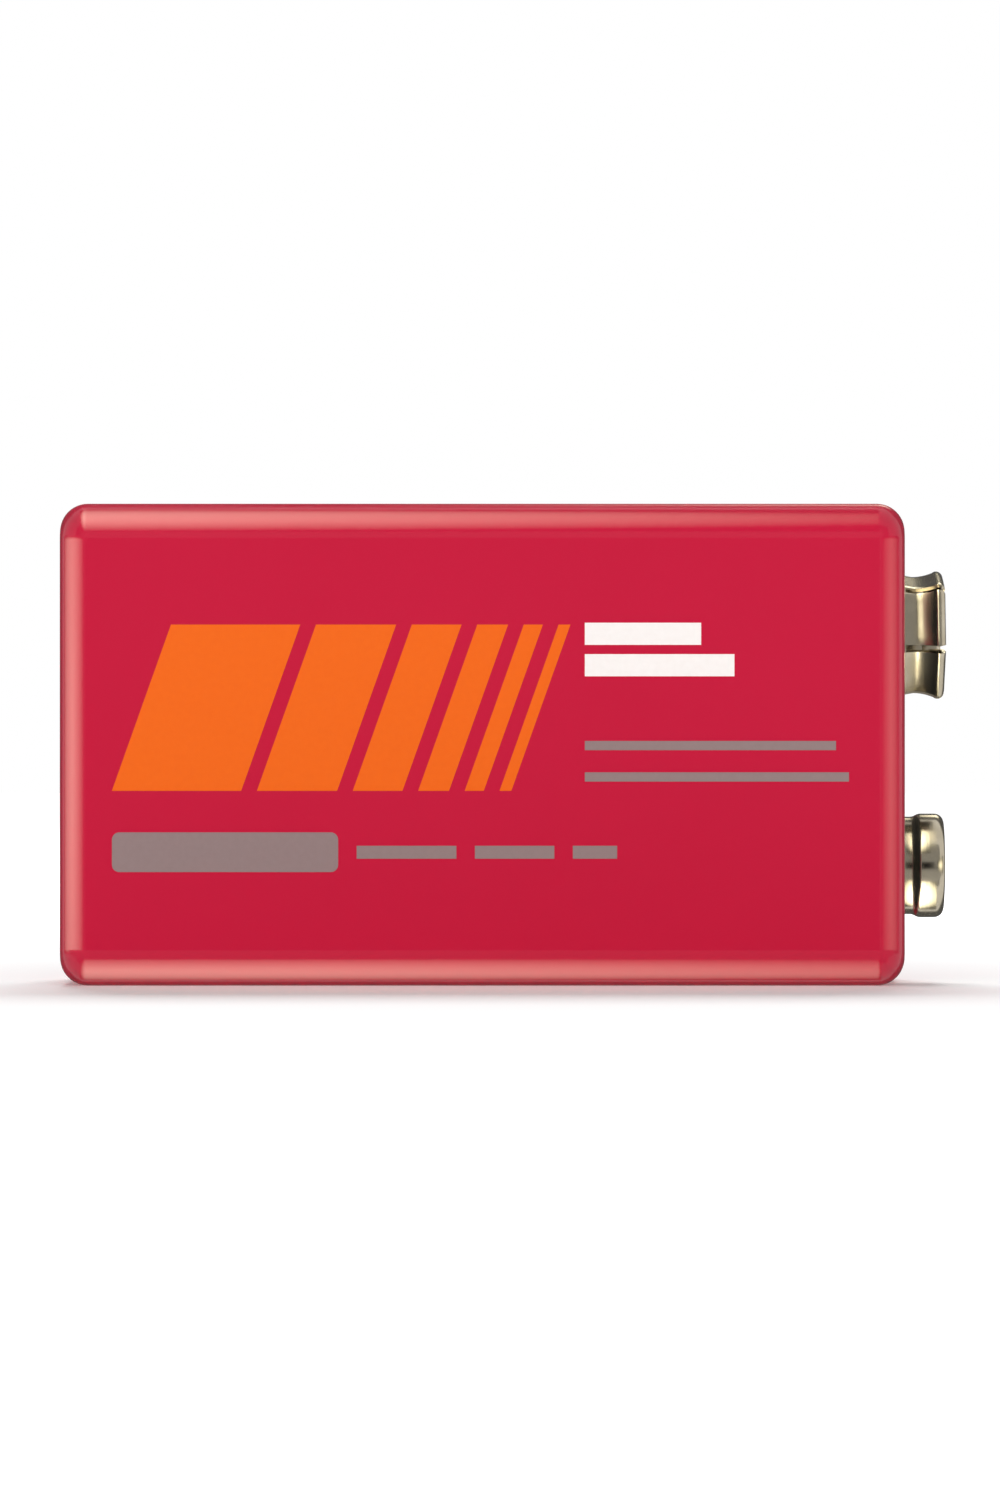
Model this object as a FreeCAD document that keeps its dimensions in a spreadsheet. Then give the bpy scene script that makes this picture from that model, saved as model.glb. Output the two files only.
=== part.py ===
import FreeCAD, Part
import math
import operator
import os

import Sketcher
from FreeCAD import Placement, Rotation, Vector

# A nine volt layer battery. It lies on its long narrow side: +X runs from the base to the
# terminals, +Z is up and -Y is the printed front. The origin is under the middle of the whole.
# Each piece is drawn upright in a frame of its own, with z along the battery from the base,
# x across the width and y toward the printed front, and is then laid down by its placement.

# Driving sizes in millimetres
SIZES = {
    # jacket of lacquered tinplate, lapped at one side and turned over both end plates
    "tinplate": 0.25,
    "case_corner": 2.0,
    "rim_bend": 1.5,
    "rim_width": 2.4,
    "window_corner": 1.8,
    "lap_width": 2.8,
    "lap_gap": 0.2,
    "seam_across": 4.0,
    "seam_width": 0.16,
    "seam_depth": 0.12,
    # clearances
    "fit": 0.05,
    "plate_fit": 0.1,
    # end plates, bottom card and paper liner
    "top_plate_thickness": 1.6,
    "seat_depth": 0.2,
    "bottom_plate_thickness": 1.4,
    "recess_depth": 0.3,
    "recess_border": 0.9,
    "card_floor": 0.4,
    "liner_wall": 0.3,
    # flat cells
    "cell_width": 24.0,
    "cell_depth": 13.5,
    "cell_height": 6.4,
    "cell_clip": 1.0,
    "band_wall": 0.4,
    "band_lip": 0.8,
    "band_lip_thickness": 0.3,
    "zinc_thickness": 0.5,
    "wet_paper_thickness": 0.3,
    "tray_wall": 0.2,
    # wax over the stack, thicker on the broad faces
    "wax_face": 1.0,
    "wax_end": 0.3,
    # conductors from the stack to the rivets
    "strip_thickness": 0.2,
    "strip_width": 4.0,
    "strip_bend": 0.2,
    "foot_reach": 8.0,
    "leaf_reach": 2.2,
    "contact_thickness": 0.3,
    "contact_inset": 1.0,
    "tab_reach": 3.0,
    "tab_foot": 4.6,
    # insulating tray between the stack and the top plate
    "spacer_height": 3.1,
    "spacer_floor": 0.5,
    "spacer_wall": 1.2,
    # terminals
    "terminal_pitch": 12.7,
    "terminal_shift": 0.3,
    "terminal_sheet": 0.25,
    "terminal_height": 2.89,
    "flange_radius": 3.1,
    "neck_radius": 2.69,
    "neck_height": 1.2,
    "head_radius": 2.86,
    "head_slope": 0.25,
    "head_bevel": 0.3,
    "dimple_radius": 1.75,
    "socket_flats": 6.26,
    "socket_round": 0.65,
    "bead_flats": 6.5,
    "bead_height": 0.95,
    "bead_bevel": 0.3,
    "throat_radius": 2.72,
    "slit_width": 0.4,
    "slit_floor": 0.7,
    # tubular rivets
    "rivet_shank": 1.0,
    "rivet_bore": 0.6,
    "rivet_head": 1.5,
    "rivet_head_thickness": 0.35,
    "rivet_flare": 1.7,
    "rivet_flare_thickness": 0.3,
    # print on the front
    "ink_thickness": 0.02,
    "print_left": 2.9,
    "bar_bottom": 10.6,
    "bar_height": 9.0,
    "bar_slant": 3.2,
    "first_bar": 7.0,
    "bar_gap": 0.85,
    "text_left": 28.5,
    "caption_bottom": 16.8,
    "caption_height": 1.2,
    "caption_gap": 0.5,
    "caption_short": 6.3,
    "caption_long": 8.1,
    "rule_bottom": 11.1,
    "rule_height": 0.5,
    "rule_gap": 1.2,
    "rule_short": 13.6,
    "rule_long": 14.3,
    "badge_bottom": 6.2,
    "badge_height": 2.15,
    "badge_length": 12.25,
    "badge_corner": 0.4,
    "dash_height": 0.7,
    "dash_gap": 1.0,
    "dash_long": 5.4,
    "dash_middle": 4.3,
    "dash_short": 2.4,
}

CELL_COUNT = 6
BAR_COUNT = 6
BAR_SHRINK = 0.62
SOCKET_TURN = 13.7
SLIT_COUNT = 6
HALF_SIDE_PER_FLATS = math.tan(math.radians(30)) / 2
BEVEL_PER_BEND = 2 - math.sqrt(2)
SAME_PLACE = 1e-4

OPERATIONS = {
    "+": operator.add,
    "-": operator.sub,
    "*": operator.mul,
    "/": operator.truediv,
}

# Local z along +X, local x along +Z and local y along -Y
LAID_DOWN = Rotation(Vector(0, 0, 1), Vector(0, -1, 0), Vector(1, 0, 0), "ZXY")


class Size:
    """A length in millimetres together with the formula that gives it from the sheet."""

    def __init__(self, number, formula):
        self.number = number
        self.formula = formula

    def __add__(self, other):
        return combined(self, "+", other)

    def __radd__(self, other):
        return combined(other, "+", self)

    def __sub__(self, other):
        return combined(self, "-", other)

    def __rsub__(self, other):
        return combined(other, "-", self)

    def __mul__(self, other):
        return combined(self, "*", other)

    def __rmul__(self, other):
        return combined(other, "*", self)

    def __truediv__(self, other):
        return combined(self, "/", other)

    def __neg__(self):
        return combined(0, "-", self)


def as_size(value):
    """Take a plain number as a size with itself for its formula."""
    if isinstance(value, Size):
        return value
    return Size(value, str(value))


def combined(left, sign, right):
    """Work out a new size and write the formula that gives it."""
    left = as_size(left)
    right = as_size(right)
    number = OPERATIONS[sign](left.number, right.number)
    return Size(number, f"({left.formula} {sign} {right.formula})")


def bind(thing, name, size):
    """Tie one property of an object to the sheet."""
    thing.setExpression(name, as_size(size).formula)


doc = FreeCAD.newDocument("nine_volt_battery")
sheet = doc.addObject("Spreadsheet::Sheet", "Sizes")
for row, (alias, millimetres) in enumerate(SIZES.items(), start=1):
    sheet.set(f"A{row}", alias)
    sheet.set(f"B{row}", str(millimetres))
    sheet.setAlias(f"B{row}", alias)
doc.recompute()

size = {alias: Size(millimetres, f"Sizes.{alias}") for alias, millimetres in SIZES.items()}
ZERO = as_size(0)
tinplate = size["tinplate"]
fit = size["fit"]
cell_clip = size["cell_clip"]
plate_fit = size["plate_fit"]
terminal_sheet = size["terminal_sheet"]

# Across the battery, from the cells out to the jacket
groove_depth = size["strip_thickness"] + fit
wax_side = groove_depth + size["strip_bend"]
wax_width = size["cell_width"] + wax_side * 2
wax_depth = size["cell_depth"] + size["wax_face"] * 2
liner_bore_width = wax_width + fit * 2
liner_bore_depth = wax_depth + fit * 2
liner_width = liner_bore_width + size["liner_wall"] * 2
liner_depth = liner_bore_depth + size["liner_wall"] * 2
cavity_width = liner_width + fit * 2
cavity_depth = liner_depth + fit * 2
case_width = cavity_width + tinplate * 2
case_depth = cavity_depth + tinplate * 2
cavity_corner = size["case_corner"] - tinplate
liner_corner = cavity_corner - fit
liner_bore_corner = liner_corner - size["liner_wall"]
inner_clip = liner_bore_corner
plate_width = cavity_width - plate_fit * 2
plate_depth = cavity_depth - plate_fit * 2
plate_corner = cavity_corner - plate_fit
bend_bevel = (size["rim_bend"] - tinplate) * BEVEL_PER_BEND
window_width = case_width - size["rim_width"] * 2
window_depth = case_depth - size["rim_width"] * 2

# Along the battery, from the base rim to the tips of the terminals
card_station = tinplate + size["bottom_plate_thickness"]
stack_start = card_station + size["card_floor"] + size["strip_thickness"]
stack_end = stack_start + size["cell_height"] * CELL_COUNT
spacer_station = stack_end + size["contact_thickness"]
top_plate_station = spacer_station + size["spacer_height"]
case_length = top_plate_station + size["top_plate_thickness"] + tinplate
terminal_station = case_length - tinplate - size["seat_depth"]
overall_length = terminal_station + size["terminal_height"]

# Middle lines of the two terminals, measured across from the middle of the width
positive_across = -(size["terminal_pitch"] / 2 + size["terminal_shift"])
negative_across = size["terminal_pitch"] / 2 - size["terminal_shift"]

# The strip climbs the narrow side in a groove of the wax
riser_inner = wax_width / 2 - groove_depth
riser_outer = riser_inner + size["strip_thickness"]
leaf_station = top_plate_station - size["strip_thickness"]
rivet_hole = size["rivet_shank"] + fit

pieces = []


def new_body(name, station=ZERO, across=ZERO, turn=0.0):
    """Start a piece at a station along the battery and a place across its width."""
    body = doc.addObject("PartDesign::Body", name)
    body.Label = name
    body.Placement = Placement(Vector(0, 0, 0), LAID_DOWN * Rotation(Vector(0, 0, 1), turn))
    bind(body, "Placement.Base.x", station - overall_length / 2)
    bind(body, "Placement.Base.z", case_width / 2 + across)
    pieces.append(body)
    return body


def sketch_on(body, plane="XY_Plane", lift=ZERO):
    """Start a sketch on one of the body's own planes, lifted along that plane's normal."""
    sketch = body.newObject("Sketcher::SketchObject", "Sketch")
    support = [feature for feature in body.Origin.OriginFeatures if feature.Role == plane]
    sketch.AttachmentSupport = [(support[0], "")]
    sketch.MapMode = "FlatFace"
    bind(sketch, "AttachmentOffset.Base.z", lift)
    return sketch


def measure(sketch, kind, value, *where):
    """Add a dimension to a sketch and tie it to the sheet."""
    value = as_size(value)
    index = sketch.addConstraint(Sketcher.Constraint(kind, *where, value.number))
    sketch.renameConstraint(index, f"size{index}")
    bind(sketch, f"Constraints.size{index}", value)


def place_point(sketch, element, end, x, y):
    """Fix one point of a sketch at measured distances from its origin."""
    measure(sketch, "DistanceX", x, -1, 1, element, end)
    measure(sketch, "DistanceY", y, -1, 1, element, end)


def circle(sketch, radius, x=ZERO, y=ZERO):
    """Draw a circle about a point."""
    middle = Vector(as_size(x).number, as_size(y).number, 0)
    element = sketch.addGeometry(Part.Circle(middle, Vector(0, 0, 1), radius.number), False)
    measure(sketch, "Radius", radius, element)
    place_point(sketch, element, 3, x, y)


def outline(sketch, corners):
    """Draw a closed outline through corners (x, y), or (x, y, radius) where one is rounded."""
    corners = [tuple(as_size(value) for value in corner) for corner in corners]
    count = len(corners)
    points = [Vector(corner[0].number, corner[1].number, 0) for corner in corners]
    ahead = [(points[(i + 1) % count] - points[i]).normalize() for i in range(count)]
    cut = [0.0] * count
    for i in range(count):
        if len(corners[i]) == 3:
            cut[i] = corners[i][2].number * math.tan(ahead[i - 1].getAngle(ahead[i]) / 2)
    sides = []
    for i in range(count):
        following = (i + 1) % count
        start = points[i] + ahead[i] * cut[i]
        finish = points[following] - ahead[i] * cut[following]
        sides.append(sketch.addGeometry(Part.LineSegment(start, finish), False))
    for i in range(count):
        if len(corners[i]) == 2:
            sketch.addConstraint(Sketcher.Constraint("Coincident", sides[i - 1], 2, sides[i], 1))
            place_point(sketch, sides[i], 1, corners[i][0], corners[i][1])
        else:
            round_corner(sketch, sides[i - 1], sides[i], points[i], cut[i], ahead[i - 1], ahead[i],
                         corners[i])


def round_corner(sketch, before, after, point, cut, inward, outward, corner):
    """Join two sides by a tangent arc, with their crossing kept as a construction point."""
    x, y, radius = corner
    turn = inward.cross(outward).z
    side = 1 if turn > 0 else -1
    start = point - inward * cut
    middle = start + Vector(-inward.y, inward.x, 0) * radius.number * side
    finish = point + outward * cut
    ends = [start, finish] if turn > 0 else [finish, start]
    angles = [math.atan2((end - middle).y, (end - middle).x) for end in ends]
    if angles[1] < angles[0]:
        angles[1] += 2 * math.pi
    ring = Part.Circle(middle, Vector(0, 0, 1), radius.number)
    arc = sketch.addGeometry(Part.ArcOfCircle(ring, angles[0], angles[1]), False)
    crossing = sketch.addGeometry(Part.Point(point), True)
    near, far = (1, 2) if turn > 0 else (2, 1)
    sketch.addConstraint(Sketcher.Constraint("Tangent", before, 2, arc, near))
    sketch.addConstraint(Sketcher.Constraint("Tangent", arc, far, after, 1))
    sketch.addConstraint(Sketcher.Constraint("PointOnObject", crossing, 1, before))
    sketch.addConstraint(Sketcher.Constraint("PointOnObject", crossing, 1, after))
    measure(sketch, "Radius", radius, arc)
    place_point(sketch, crossing, 1, x, y)


def box_corners(left, right, low, high, radius=None):
    """Give the four corners of a rectangle, with one radius for all of them if it is rounded."""
    corners = [(left, low), (right, low), (right, high), (left, high)]
    if radius is None:
        return corners
    return [(x, y, radius) for x, y in corners]


def rounded_rectangle(sketch, width, depth, radius):
    """Draw a rounded rectangle about the sketch's origin."""
    outline(sketch, box_corners(-width / 2, width / 2, -depth / 2, depth / 2, radius))


def clipped_rectangle(sketch, width, depth, leg):
    """Draw a rectangle with clipped corners about the sketch's origin."""
    x = width / 2
    y = depth / 2
    outline(sketch, [
        (x, leg - y),
        (x, y - leg),
        (x - leg, y),
        (leg - x, y),
        (-x, y - leg),
        (-x, leg - y),
        (leg - x, -y),
        (x - leg, -y),
    ])


def pad(body, sketch, length, reverse=False):
    """Add material along the sketch's normal."""
    feature = body.newObject("PartDesign::Pad", "Pad")
    feature.Profile = sketch
    feature.Length = as_size(length).number
    feature.Reversed = reverse
    bind(feature, "Length", length)
    return feature


def pocket(body, sketch, length):
    """Remove material along the sketch's normal, which is against a pocket's usual direction."""
    feature = body.newObject("PartDesign::Pocket", "Pocket")
    feature.Profile = sketch
    feature.Length = as_size(length).number
    feature.Reversed = True
    bind(feature, "Length", length)
    return feature


def revolve(body, sketch):
    """Turn a profile of the XZ plane all round the piece's own z."""
    feature = body.newObject("PartDesign::Revolution", "Revolution")
    feature.Profile = sketch
    feature.ReferenceAxis = (sketch, ["V_Axis"])
    feature.Angle = 360.0
    return feature


def loop_edges(feature, level):
    """Name the edges of a feature that lie flat at a level."""
    doc.recompute()
    names = []
    for number, edge in enumerate(feature.Shape.Edges, start=1):
        ends = [vertex.Point.z for vertex in edge.Vertexes] + [edge.CenterOfMass.z]
        if all(abs(height - level.number) < SAME_PLACE for height in ends):
            names.append(f"Edge{number}")
    return names


def fillet(body, feature, names, radius):
    """Round the named edges of a feature."""
    rounded = body.newObject("PartDesign::Fillet", "Fillet")
    rounded.Base = (feature, names)
    rounded.Radius = radius.number
    bind(rounded, "Radius", radius)
    return rounded


def bevel(body, feature, names, leg):
    """Bevel the named edges of a feature."""
    bevelled = body.newObject("PartDesign::Chamfer", "Chamfer")
    bevelled.Base = (feature, names)
    bevelled.Size = leg.number
    bind(bevelled, "Size", leg)
    return bevelled


def slab(name, station, width, depth, corner, thickness, draw=clipped_rectangle):
    """Make a plate that lies across the battery."""
    body = new_body(name, station)
    sketch = sketch_on(body)
    draw(sketch, width, depth, corner)
    pad(body, sketch, thickness)
    return body


def make_jacket():
    """Jacket: a rounded tube with both ends turned over, and a lap under its side seam."""
    body = slab("metal_jacket", ZERO, case_width, case_depth, size["case_corner"], case_length,
                rounded_rectangle)
    cavity_sketch = sketch_on(body, lift=tinplate)
    rounded_rectangle(cavity_sketch, cavity_width, cavity_depth, cavity_corner)
    cavity = pocket(body, cavity_sketch, case_length - tinplate * 2)
    inner_ends = loop_edges(cavity, tinplate) + loop_edges(cavity, case_length - tinplate)
    block = bevel(body, cavity, inner_ends, bend_bevel)
    ends = loop_edges(block, ZERO) + loop_edges(block, case_length)
    fillet(body, block, ends, size["rim_bend"])
    window_sketch = sketch_on(body)
    rounded_rectangle(window_sketch, window_width, window_depth, size["window_corner"])
    pocket(body, window_sketch, case_length)
    add_lap(body)
    cut_seam(body)


def add_lap(body):
    """The inner edge of the sheet runs on under the seam, between the two end plates."""
    low = card_station + plate_fit
    high = top_plate_station - plate_fit
    inner = cavity_width / 2 - tinplate
    sketch = sketch_on(body, lift=low)
    left = -size["seam_across"] - size["lap_width"] / 2
    right = -size["seam_across"] + size["lap_width"] / 2
    outline(sketch, box_corners(inner, cavity_width / 2, left, right))
    pad(body, sketch, high - low)


def cut_seam(body):
    """The outer edge of the sheet shows as a fine groove along the wall and round both bends."""
    lip = case_width / 2 - size["rim_width"]
    outside = case_width / 2 + size["rim_bend"]
    floor = case_width / 2 - size["seam_depth"]
    low = size["seam_depth"]
    high = case_length - size["seam_depth"]
    bend = size["rim_bend"] - size["seam_depth"]
    sketch = sketch_on(body, "XZ_Plane", size["seam_across"] - size["seam_width"] / 2)
    outline(sketch, [
        (lip, -size["rim_bend"]),
        (outside, -size["rim_bend"]),
        (outside, case_length + size["rim_bend"]),
        (lip, case_length + size["rim_bend"]),
        (lip, high),
        (floor, high, bend),
        (floor, low, bend),
        (lip, low),
    ])
    pocket(body, sketch, size["seam_width"])


def make_bottom_plate():
    """Bottom plate: moulded, held by the rim, with a shallow recess in its window."""
    body = slab("bottom_plate", tinplate, plate_width, plate_depth, plate_corner,
                size["bottom_plate_thickness"], rounded_rectangle)
    plate = body.Tip
    bevel(body, plate, loop_edges(plate, ZERO), bend_bevel)
    border = size["recess_border"]
    sketch = sketch_on(body)
    rounded_rectangle(sketch, window_width - border * 2, window_depth - border * 2,
                      size["window_corner"] - border / 2)
    pocket(body, sketch, size["recess_depth"])


def make_top_plate():
    """Top plate: moulded, with a round seat and a rivet hole for each terminal."""
    body = slab("top_plate", top_plate_station, plate_width, plate_depth, plate_corner,
                size["top_plate_thickness"], rounded_rectangle)
    plate = body.Tip
    bevel(body, plate, loop_edges(plate, size["top_plate_thickness"]), bend_bevel)
    seats = sketch_on(body, lift=size["top_plate_thickness"] - size["seat_depth"])
    circle(seats, size["flange_radius"] + fit, positive_across)
    socket_reach = size["socket_flats"] * HALF_SIDE_PER_FLATS * 2
    circle(seats, socket_reach + fit, negative_across)
    pocket(body, seats, size["seat_depth"])
    holes = sketch_on(body)
    circle(holes, rivet_hole, positive_across)
    circle(holes, rivet_hole, negative_across)
    pocket(body, holes, size["top_plate_thickness"])


def make_positive_stud():
    """Positive terminal: one drawn cup, with a necked head and a dimple down to its seat."""
    body = new_body("positive_stud", terminal_station, positive_across)
    sheet_wall = terminal_sheet
    top = size["terminal_height"]
    neck = size["neck_radius"]
    head = size["head_radius"]
    slope_end = size["neck_height"] + size["head_slope"]
    head_bevel = size["head_bevel"]
    dimple = size["dimple_radius"]
    sketch = sketch_on(body, "XZ_Plane")
    outline(sketch, [
        (rivet_hole, ZERO),
        (dimple + sheet_wall, ZERO),
        (dimple + sheet_wall, top - sheet_wall),
        (neck - sheet_wall, top - sheet_wall),
        (neck - sheet_wall, ZERO),
        (size["flange_radius"], ZERO),
        (size["flange_radius"], sheet_wall),
        (neck, sheet_wall),
        (neck, size["neck_height"]),
        (head, slope_end),
        (head, top - head_bevel),
        (head - head_bevel, top),
        (dimple, top),
        (dimple, sheet_wall),
        (rivet_hole, sheet_wall),
    ])
    revolve(body, sketch)


def hexagon(sketch, flats, radius):
    """Draw a six-sided outline about the origin, its corners rounded."""
    half = flats / 2
    half_side = flats * HALF_SIDE_PER_FLATS
    outline(sketch, [
        (half, -half_side, radius),
        (half, half_side, radius),
        (ZERO, half_side * 2, radius),
        (-half, half_side, radius),
        (-half, -half_side, radius),
        (ZERO, half_side * -2, radius),
    ])


def make_negative_socket():
    """Negative terminal: a six-sided crown whose beaded rim is slit at its corners."""
    body = new_body("negative_socket", terminal_station, negative_across, SOCKET_TURN)
    top = size["terminal_height"]
    wall_sketch = sketch_on(body)
    hexagon(wall_sketch, size["socket_flats"], size["socket_round"])
    pad(body, wall_sketch, top)
    bead_station = top - size["bead_height"]
    bead_sketch = sketch_on(body, lift=bead_station)
    hexagon(bead_sketch, size["bead_flats"], size["socket_round"])
    bead = pad(body, bead_sketch, size["bead_height"])
    bevel(body, bead, loop_edges(bead, top), size["bead_bevel"])
    inner_sketch = sketch_on(body, lift=terminal_sheet)
    hexagon(inner_sketch, size["socket_flats"] - terminal_sheet * 2,
            size["socket_round"] - terminal_sheet)
    pocket(body, inner_sketch, bead_station - terminal_sheet)
    throat_sketch = sketch_on(body, lift=terminal_sheet)
    circle(throat_sketch, size["throat_radius"])
    pocket(body, throat_sketch, top - terminal_sheet)
    hole_sketch = sketch_on(body)
    circle(hole_sketch, rivet_hole)
    pocket(body, hole_sketch, terminal_sheet)
    slit_sketch = sketch_on(body, lift=size["slit_floor"])
    half = size["slit_width"] / 2
    reach = size["bead_flats"]
    outline(slit_sketch, box_corners(-half, half, size["rivet_head"], reach))
    slit = pocket(body, slit_sketch, top - size["slit_floor"])
    crown = body.newObject("PartDesign::PolarPattern", "Slits")
    crown.Originals = [slit]
    crown.Axis = (slit_sketch, ["N_Axis"])
    crown.Angle = 360.0
    crown.Occurrences = SLIT_COUNT
    body.Tip = crown


def make_rivet(name, across):
    """Rivet: tubular, with a flat head in the terminal and a flare under the leaf of metal."""
    flare_station = leaf_station - size["rivet_flare_thickness"]
    leaf_level = size["rivet_flare_thickness"]
    head_level = terminal_station + terminal_sheet - flare_station
    top = head_level + size["rivet_head_thickness"]
    body = new_body(name, flare_station, across)
    sketch = sketch_on(body, "XZ_Plane")
    outline(sketch, [
        (size["rivet_bore"], ZERO),
        (size["rivet_flare"], ZERO),
        (size["rivet_flare"], leaf_level),
        (size["rivet_shank"], leaf_level),
        (size["rivet_shank"], head_level),
        (size["rivet_head"], head_level),
        (size["rivet_head"], top),
        (size["rivet_bore"], top),
    ])
    revolve(body, sketch)


def ribbon(body, corners):
    """Pad a folded strip's edge-on outline to its width, centred on the piece's own y."""
    sketch = sketch_on(body, "XZ_Plane", -size["strip_width"] / 2)
    outline(sketch, corners)
    return pad(body, sketch, size["strip_width"])


def make_positive_tab():
    """Positive tab: a folded strip from the contact plate up to the positive rivet."""
    body = new_body("positive_tab", spacer_station, positive_across)
    sheet_wall = size["strip_thickness"]
    inner = size["strip_bend"]
    outer = inner + sheet_wall
    left = -size["tab_reach"]
    high = size["spacer_height"]
    ribbon(body, [
        (left, ZERO, outer),
        (left + size["tab_foot"], ZERO),
        (left + size["tab_foot"], sheet_wall),
        (left + sheet_wall, sheet_wall, inner),
        (left + sheet_wall, high - sheet_wall, inner),
        (size["leaf_reach"], high - sheet_wall),
        (size["leaf_reach"], high),
        (left, high, outer),
    ])
    hole = sketch_on(body, lift=high - sheet_wall)
    circle(hole, rivet_hole)
    pocket(body, hole, sheet_wall)


def make_negative_strip():
    """Negative strip: a ribbon from under the stack, up the side and over to the rivet."""
    foot_station = stack_start - size["strip_thickness"]
    body = new_body("negative_strip", foot_station)
    sheet_wall = size["strip_thickness"]
    inner = size["strip_bend"]
    outer = inner + sheet_wall
    high = top_plate_station - foot_station
    foot_end = riser_outer - size["foot_reach"]
    leaf_end = negative_across - size["leaf_reach"]
    ribbon(body, [
        (foot_end, ZERO),
        (riser_outer, ZERO, outer),
        (riser_outer, high, outer),
        (leaf_end, high),
        (leaf_end, high - sheet_wall),
        (riser_inner, high - sheet_wall, inner),
        (riser_inner, sheet_wall, inner),
        (foot_end, sheet_wall),
    ])
    hole = sketch_on(body, lift=high - sheet_wall)
    circle(hole, rivet_hole, negative_across)
    pocket(body, hole, sheet_wall)


def make_top_contact_plate():
    """Contact plate: tinned sheet on the mix cake of the last cell."""
    inset = size["contact_inset"]
    slab("top_contact_plate", stack_end, size["cell_width"] - inset * 2,
         size["cell_depth"] - inset * 2, cell_clip, size["contact_thickness"])


def make_top_spacer():
    """Spacer: an open moulded tray with a rib between the two rivets."""
    body = slab("top_spacer", spacer_station, wax_width, wax_depth, inner_clip,
                size["spacer_height"])
    wall = size["spacer_wall"]
    depth = size["spacer_height"] - size["spacer_floor"]
    rooms = sketch_on(body, lift=size["spacer_floor"])
    half_width = wax_width / 2 - wall
    half_depth = wax_depth / 2 - wall
    rib = -size["terminal_shift"]
    outline(rooms, box_corners(-half_width, rib - wall / 2, -half_depth, half_depth))
    outline(rooms, box_corners(rib + wall / 2, half_width, -half_depth, half_depth))
    pocket(body, rooms, depth)
    half_strip = size["strip_width"] / 2 + fit
    tab_left = positive_across - size["tab_reach"]
    tab_right = tab_left + size["tab_foot"]
    openings = sketch_on(body)
    outline(openings, box_corners(tab_left - fit, tab_right + fit, -half_strip, half_strip))
    outline(openings, box_corners(half_width - fit, wax_width / 2 + wall, -half_strip, half_strip))
    pocket(body, openings, size["spacer_height"])


def make_bottom_card():
    """Card: insulating board under the stack, with a sunk track for the strip's foot."""
    thickness = size["card_floor"] + size["strip_thickness"]
    body = slab("bottom_card", card_station, wax_width, wax_depth, inner_clip, thickness)
    half_strip = size["strip_width"] / 2 + fit
    foot_end = riser_outer - size["foot_reach"] - fit
    sketch = sketch_on(body, lift=size["card_floor"])
    outline(sketch, box_corners(foot_end, wax_width / 2 + fit, -half_strip, half_strip))
    pocket(body, sketch, size["strip_thickness"])


def make_jacket_liner():
    """Liner: a paper tube inside the jacket, with a gap where the sheet laps."""
    height = top_plate_station - card_station
    body = slab("jacket_liner", card_station, liner_width, liner_depth, liner_corner, height,
                rounded_rectangle)
    bore = sketch_on(body)
    rounded_rectangle(bore, liner_bore_width, liner_bore_depth, liner_bore_corner)
    pocket(body, bore, height)
    gap = sketch_on(body)
    half_gap = size["lap_width"] / 2 + size["lap_gap"]
    middle = -size["seam_across"]
    outline(gap, box_corners(wax_width / 2, cavity_width / 2, middle - half_gap,
                             middle + half_gap))
    pocket(body, gap, height)


def make_wax_coat():
    """Wax: a coat over the sides of the stack, grooved on one side for the strip."""
    station = stack_start + size["wax_end"]
    height = stack_end - size["wax_end"] - station
    body = slab("wax_coat", station, wax_width, wax_depth, inner_clip, height)
    bore = sketch_on(body)
    clipped_rectangle(bore, size["cell_width"] + fit * 2, size["cell_depth"] + fit * 2, cell_clip)
    pocket(body, bore, height)
    half_strip = size["strip_width"] / 2 + fit
    groove = sketch_on(body)
    outline(groove, box_corners(riser_inner, wax_width / 2 + fit, -half_strip, half_strip))
    pocket(body, groove, height)


# Across one cell, from the band's walls in
pocket_width = size["cell_width"] - size["band_wall"] * 2
pocket_depth = size["cell_depth"] - size["band_wall"] * 2
layer_width = pocket_width - fit * 2
layer_depth = pocket_depth - fit * 2
cake_room_width = layer_width - size["tray_wall"] * 2
cake_room_depth = layer_depth - size["tray_wall"] * 2
mouth_width = pocket_width - size["band_lip"] * 2
mouth_depth = pocket_depth - size["band_lip"] * 2

# Along one cell, from its lower face up
lip = size["band_lip_thickness"]
paper_level = lip + size["zinc_thickness"]
tray_level = paper_level + size["wet_paper_thickness"]
cake_level = tray_level + size["tray_wall"]
lip_level = size["cell_height"] - lip


def make_cell(prefix, station):
    """One flat cell: band, electrode, wet paper, paper tray and the cake pressed into it."""
    make_cell_band(f"{prefix}_band", station)
    make_cell_electrode(f"{prefix}_electrode", station)
    slab(f"{prefix}_wet_paper", station + paper_level, layer_width, layer_depth, cell_clip,
         size["wet_paper_thickness"])
    make_cell_tray(f"{prefix}_paper_tray", station + tray_level)
    make_cell_cake(f"{prefix}_mix_cake", station + cake_level)


def make_cell_band(name, station):
    """Band: a moulded frame whose lips hold the layers together."""
    body = slab(name, station, size["cell_width"], size["cell_depth"], cell_clip,
                size["cell_height"])
    room = sketch_on(body, lift=lip)
    clipped_rectangle(room, pocket_width, pocket_depth, cell_clip)
    pocket(body, room, lip_level - lip)
    mouth = sketch_on(body)
    clipped_rectangle(mouth, mouth_width, mouth_depth, cell_clip)
    pocket(body, mouth, size["cell_height"])


def make_cell_electrode(name, station):
    """Electrode: zinc plate with a carbon pad that reaches down through the band's mouth."""
    body = slab(name, station, mouth_width - fit * 2, mouth_depth - fit * 2, cell_clip, lip)
    zinc = sketch_on(body, lift=lip)
    clipped_rectangle(zinc, layer_width, layer_depth, cell_clip)
    pad(body, zinc, size["zinc_thickness"])


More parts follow.
